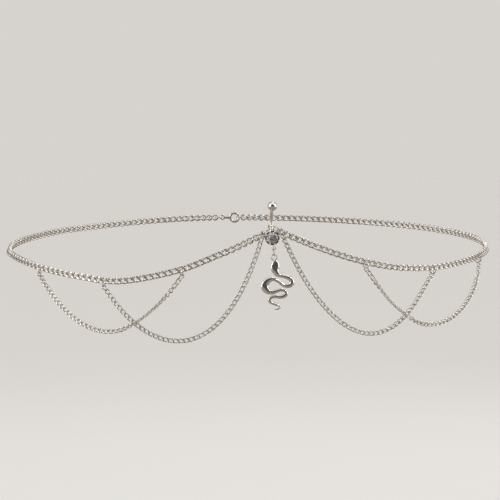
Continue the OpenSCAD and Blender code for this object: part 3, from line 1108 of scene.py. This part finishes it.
@dataclass
class SnakeDrop:
    """The snake drop with a smooth body."""

    finish: bpy.types.Material
    form: SnakeForm = SnakeForm()
    pieces: int = 5
    sides: int = 28

    def line(self) -> Array:
        """The body's middle line.

        Returns:
            Rows of across, up and width.
        """
        knots = np.array(self.form.spine) * (1, -1, 1)
        n, rows = len(knots), []
        for i in range(n - 1):
            a, b, c, d = (knots[min(n - 1, max(0, i + k))] for k in (-1, 0, 1, 2))
            for t in np.linspace(0, 1, self.pieces, endpoint=False):
                bend = 2 * a - 5 * b + 4 * c - d + t * (3 * (b - c) + d - a)
                rows.append(b + 0.5 * t * (c - a + t * bend))
        return np.array(rows + [knots[-1]])

    def body(self) -> Tuple[Array, Array, List[List[int]]]:
        """The body's mesh.

        Returns:
            Points, quads and end caps.
        """
        form, rows = self.form, self.line()
        flat = rows[:, :2]
        t = np.concatenate([flat[1:], flat[-1:]]) - np.concatenate([flat[:1], flat[:-1]])
        t /= np.linalg.norm(t, axis=1)[:, None]
        n, m = len(rows), self.sides
        a = np.linspace(0, 2 * math.pi, m, endpoint=False)
        half = rows[:, 2] * form.widest / (2 * form.drawn_widest) * form.rounding
        high = form.thick / 2 * np.minimum(1, form.edge + form.swell * rows[:, 2])
        lift = np.sin(a) * np.where(np.sin(a) > 0, 1, form.back)
        section = np.stack([half[:, None] * np.cos(a), high[:, None] * lift], axis=-1)
        zero = np.zeros(n)
        line = np.stack([flat[:, 0], zero, flat[:, 1]], axis=-1) + np.array(form.place)
        across = np.stack([-t[:, 1], zero, t[:, 0]], axis=-1)
        up = np.broadcast_to(np.array([0.0, -1.0, 0.0]), (n, 3))
        caps = [list(range(m))[::-1], [(n - 1) * m + j for j in range(m)]]
        return sweep_rings(line, across, up, section).reshape(-1, 3), ring_quads(n, m, False), caps

    def eye(self, steps: int = 48, sides: int = 16) -> Tuple[Array, Array]:
        """The ring that the snake hangs by.

        Args:
            steps: Steps round the ring.
            sides: Sides of its wire.

        Returns:
            Points and quads.
        """
        ring, a = self.form.eye, np.linspace(0, 2 * math.pi, steps, endpoint=False)
        zero = np.zeros(steps)
        out = np.stack([zero, np.cos(a), np.sin(a)], axis=-1)
        ahead = np.stack([zero, -np.sin(a), np.cos(a)], axis=-1)
        centre = np.array([self.form.place[0], self.form.place[1], self.form.eye_z])
        b = np.linspace(0, 2 * math.pi, sides, endpoint=False)
        round_wire = ring.wire / 2 * np.stack([np.cos(b), np.sin(b)], axis=-1)
        section = np.broadcast_to(round_wire, (steps, sides, 2))
        pts = sweep_rings(centre + ring.radius * out, out, np.cross(ahead, out), section)
        return pts.reshape(-1, 3), ring_quads(steps, sides, True)

    def build(self) -> None:
        """Build the drop."""
        pts, quads, caps = self.body()
        ring_pts, ring_faces = self.eye()
        obj = make_object("snake_body", np.concatenate([pts, ring_pts]),
                          np.concatenate([quads, ring_faces + len(pts)]), caps)
        dress(obj, self.finish, "snake", "snake_pendant")


@dataclass
class Carried:
    """CAD nodes whose shape stays and which only get their finish."""

    finishes: Finishes

    def build(self) -> None:
        """Give each kept node its material."""
        kept = {
            self.finishes.bright: ["navel_bar", "top_ball", "clasp"],
            # Rings and links wear the darker chain silver, a painted shade that makes them read darker than
            # the bar
            self.finishes.chain: ["pendant_link", "pendant_ring", "front_ring_left", "front_ring_right",
                                  "clasp_ring", "end_ring"]
            + [f"hook_ring_{side.word}_{n}" for side in Side for n in (1, 2, 3)],
            self.finishes.crystal: ["crystal"],
        }
        for material, names in kept.items():
            for name in names:
                obj = bpy.data.objects[name]
                for slot in obj.material_slots:
                    slot.material = material
                if not obj.material_slots:
                    obj.data.materials.append(material)
                LOG.info("%s wears %s", name, material.name)


# Stage, in metres
# These are the socket numbers of a colour mix, whose sockets share their names.
MIX_SHARE, MIX_FIRST, MIX_SECOND, MIX_RESULT = 0, 6, 7, 2


@dataclass(frozen=True)
class Lamp:
    """A soft square lamp aimed at the chain, its power in watts."""

    name: str
    where: Triple
    power: float
    color: Triple
    size: float = 0.35
    aim: Triple = (0.0, -0.05, -0.02)

    def build(self) -> None:
        """Put the lamp in its place."""
        data = bpy.data.lights.new(self.name, "AREA")
        data.energy, data.size, data.color = self.power, self.size, self.color
        obj = bpy.data.objects.new(self.name, data)
        obj.location = self.where
        obj.rotation_euler = (Vector(self.aim) - Vector(self.where)).to_track_quat("-Z", "Y").to_euler()
        bpy.context.scene.collection.objects.link(obj)


@dataclass(frozen=True)
class Surround:
    """What the metal mirrors, and the plain backdrop that the picture shows instead.

    The mirrored tent is bright at the sides. It is dark toward the front and the rear
    and dimmer high up, with a soft light overhead and a warm ground below. Front and
    rear are levels along Y, and the others are levels along Z.
    """

    backdrop: Triple = (0.676, 0.649, 0.614)
    tent: Triple = (1.0, 0.985, 0.965)
    ground: Triple = (0.36, 0.31, 0.26)
    front: Span = Span(-0.74, -0.5, 0.08, 2.0)
    rear: Span = Span(0.15, 0.6, 1.0, 0.12)
    high: Span = Span(0.9, 0.2, 0.35, 1.0, smooth=False)
    overhead: Span = Span(0.88, 0.95, 0.0, 0.6)
    under: Span = Span(-0.08, -0.3, 0.0, 1.0)

    def build(self) -> None:
        """Make the world's nodes."""
        world = bpy.data.worlds.new("surround")
        world.use_nodes = True
        graph, nodes = Graph(world.node_tree), world.node_tree.nodes
        axes = graph.put("SeparateXYZ", {"Vector": graph.place("Generated")})
        y, z = axes.outputs["Y"], axes.outputs["Z"]
        walls = graph.combine("MULTIPLY", graph.level(y, self.front), graph.level(y, self.rear))
        walls = graph.combine("MULTIPLY", walls, graph.level(z, self.high))
        tent = graph.combine("ADD", walls, graph.level(z, self.overhead))
        under = graph.level(z, self.under)
        shade = graph.tree.nodes.new("ShaderNodeMix")
        shade.data_type = "RGBA"
        graph.fill(shade, {MIX_SHARE: under, MIX_FIRST: (*self.tent, 1), MIX_SECOND: (*self.ground, 1)})
        above = graph.combine("MULTIPLY", tent, graph.combine("SUBTRACT", 1.0, under))
        mirrored = graph.fill(nodes["Background"], {"Color": shade.outputs[MIX_RESULT],
                                                    "Strength": graph.combine("ADD", above, under)})
        plain = graph.put("Background", {"Color": (*self.backdrop, 1)})
        seen = graph.put("LightPath", {}).outputs["Is Camera Ray"]
        mix = graph.put("MixShader", {0: seen, 1: mirrored.outputs[0], 2: plain.outputs[0]})
        graph.fill(nodes["World Output"], {"Surface": mix.outputs[0]})
        bpy.context.scene.world = world


@dataclass(frozen=True)
class ViewCamera:
    """Camera at the photograph's angle: its turn and tilt in radians, its focal length in pixels."""

    eye: Triple = (-0.17371, -1.38400, 0.03258)
    turn: float = 0.125
    tilt: float = 0.03
    focal_px: float = 2429.9
    frame_px: float = 500.0
    sensor: float = 36.0
    reach: float = 800.0

    def build(self) -> None:
        """Put the camera in its place."""
        a, e = self.turn, self.tilt
        look = Vector((math.sin(a) * math.cos(e), math.cos(a) * math.cos(e), -math.sin(e)))
        right = Vector((math.cos(a), -math.sin(a), 0))
        up = right.cross(look)
        data = bpy.data.cameras.new("photo_view")
        data.sensor_width = self.sensor
        data.lens = self.sensor * self.focal_px / self.frame_px
        data.clip_end = self.reach
        obj = bpy.data.objects.new("photo_view", data)
        obj.matrix_world = Matrix((
            (right.x, up.x, -look.x, self.eye[0]), (right.y, up.y, -look.y, self.eye[1]),
            (right.z, up.z, -look.z, self.eye[2]), (0, 0, 0, 1)))
        bpy.context.scene.collection.objects.link(obj)
        bpy.context.scene.camera = obj


@dataclass
class Studio:
    """Floor, light and camera: a key from the upper right, a weaker fill and a rim lamp behind."""

    finish: bpy.types.Material
    floor_z: float = -0.25
    floor_rings: Tuple[float, ...] = (1.0, 4.0, 20.0, 400.0)
    floor_sides: int = 48
    lamps: Tuple[Lamp, ...] = (
        Lamp("key_soft", (1.1, -1.1, 1.2), 4.0, (1.0, 0.985, 0.96)),
        Lamp("fill_soft", (-1.3, -0.8, 0.7), 2.0, (0.97, 0.98, 1.0)),
        Lamp("rim_soft", (0.5, 1.3, 1.1), 2.4, (1.0, 1.0, 1.0)))

    def floor(self) -> None:
        """A pale floor that runs on in every direction, and that the metal doesn't mirror."""
        n = self.floor_sides
        a = np.linspace(0, 2 * math.pi, n, endpoint=False)
        rim = [[q * math.cos(t), q * math.sin(t), self.floor_z] for q in self.floor_rings for t in a]
        pts = np.array(rim + [[0.0, 0.0, self.floor_z]]) / MM
        caps = [[len(rim), k, (k + 1) % n] for k in range(n)]
        floor = make_object("floor_pale", pts, ring_quads(len(self.floor_rings), n, False)[:, ::-1], caps)
        floor.data.materials.append(self.finish)
        floor.visible_glossy = False

    def build(self) -> None:
        """Build the stage."""
        self.floor()
        for lamp in self.lamps:
            lamp.build()
        Surround().build()
        ViewCamera().build()
        bpy.context.scene.view_settings.view_transform = "Standard"
        LOG.info("stage ready")


def main() -> None:
    """Build every part in order."""
    logging.basicConfig(level=logging.INFO, format="%(message)s")
    finishes = Finishes.make()
    Studio(finishes.floor).build()
    layout = Layout()
    MainChain(layout, finishes.chain).build()
    SwagChains(layout, finishes.chain).build()
    SnakeDrop(finishes.bright).build()
    Carried(finishes).build()


if __name__ == "__main__":
    main()
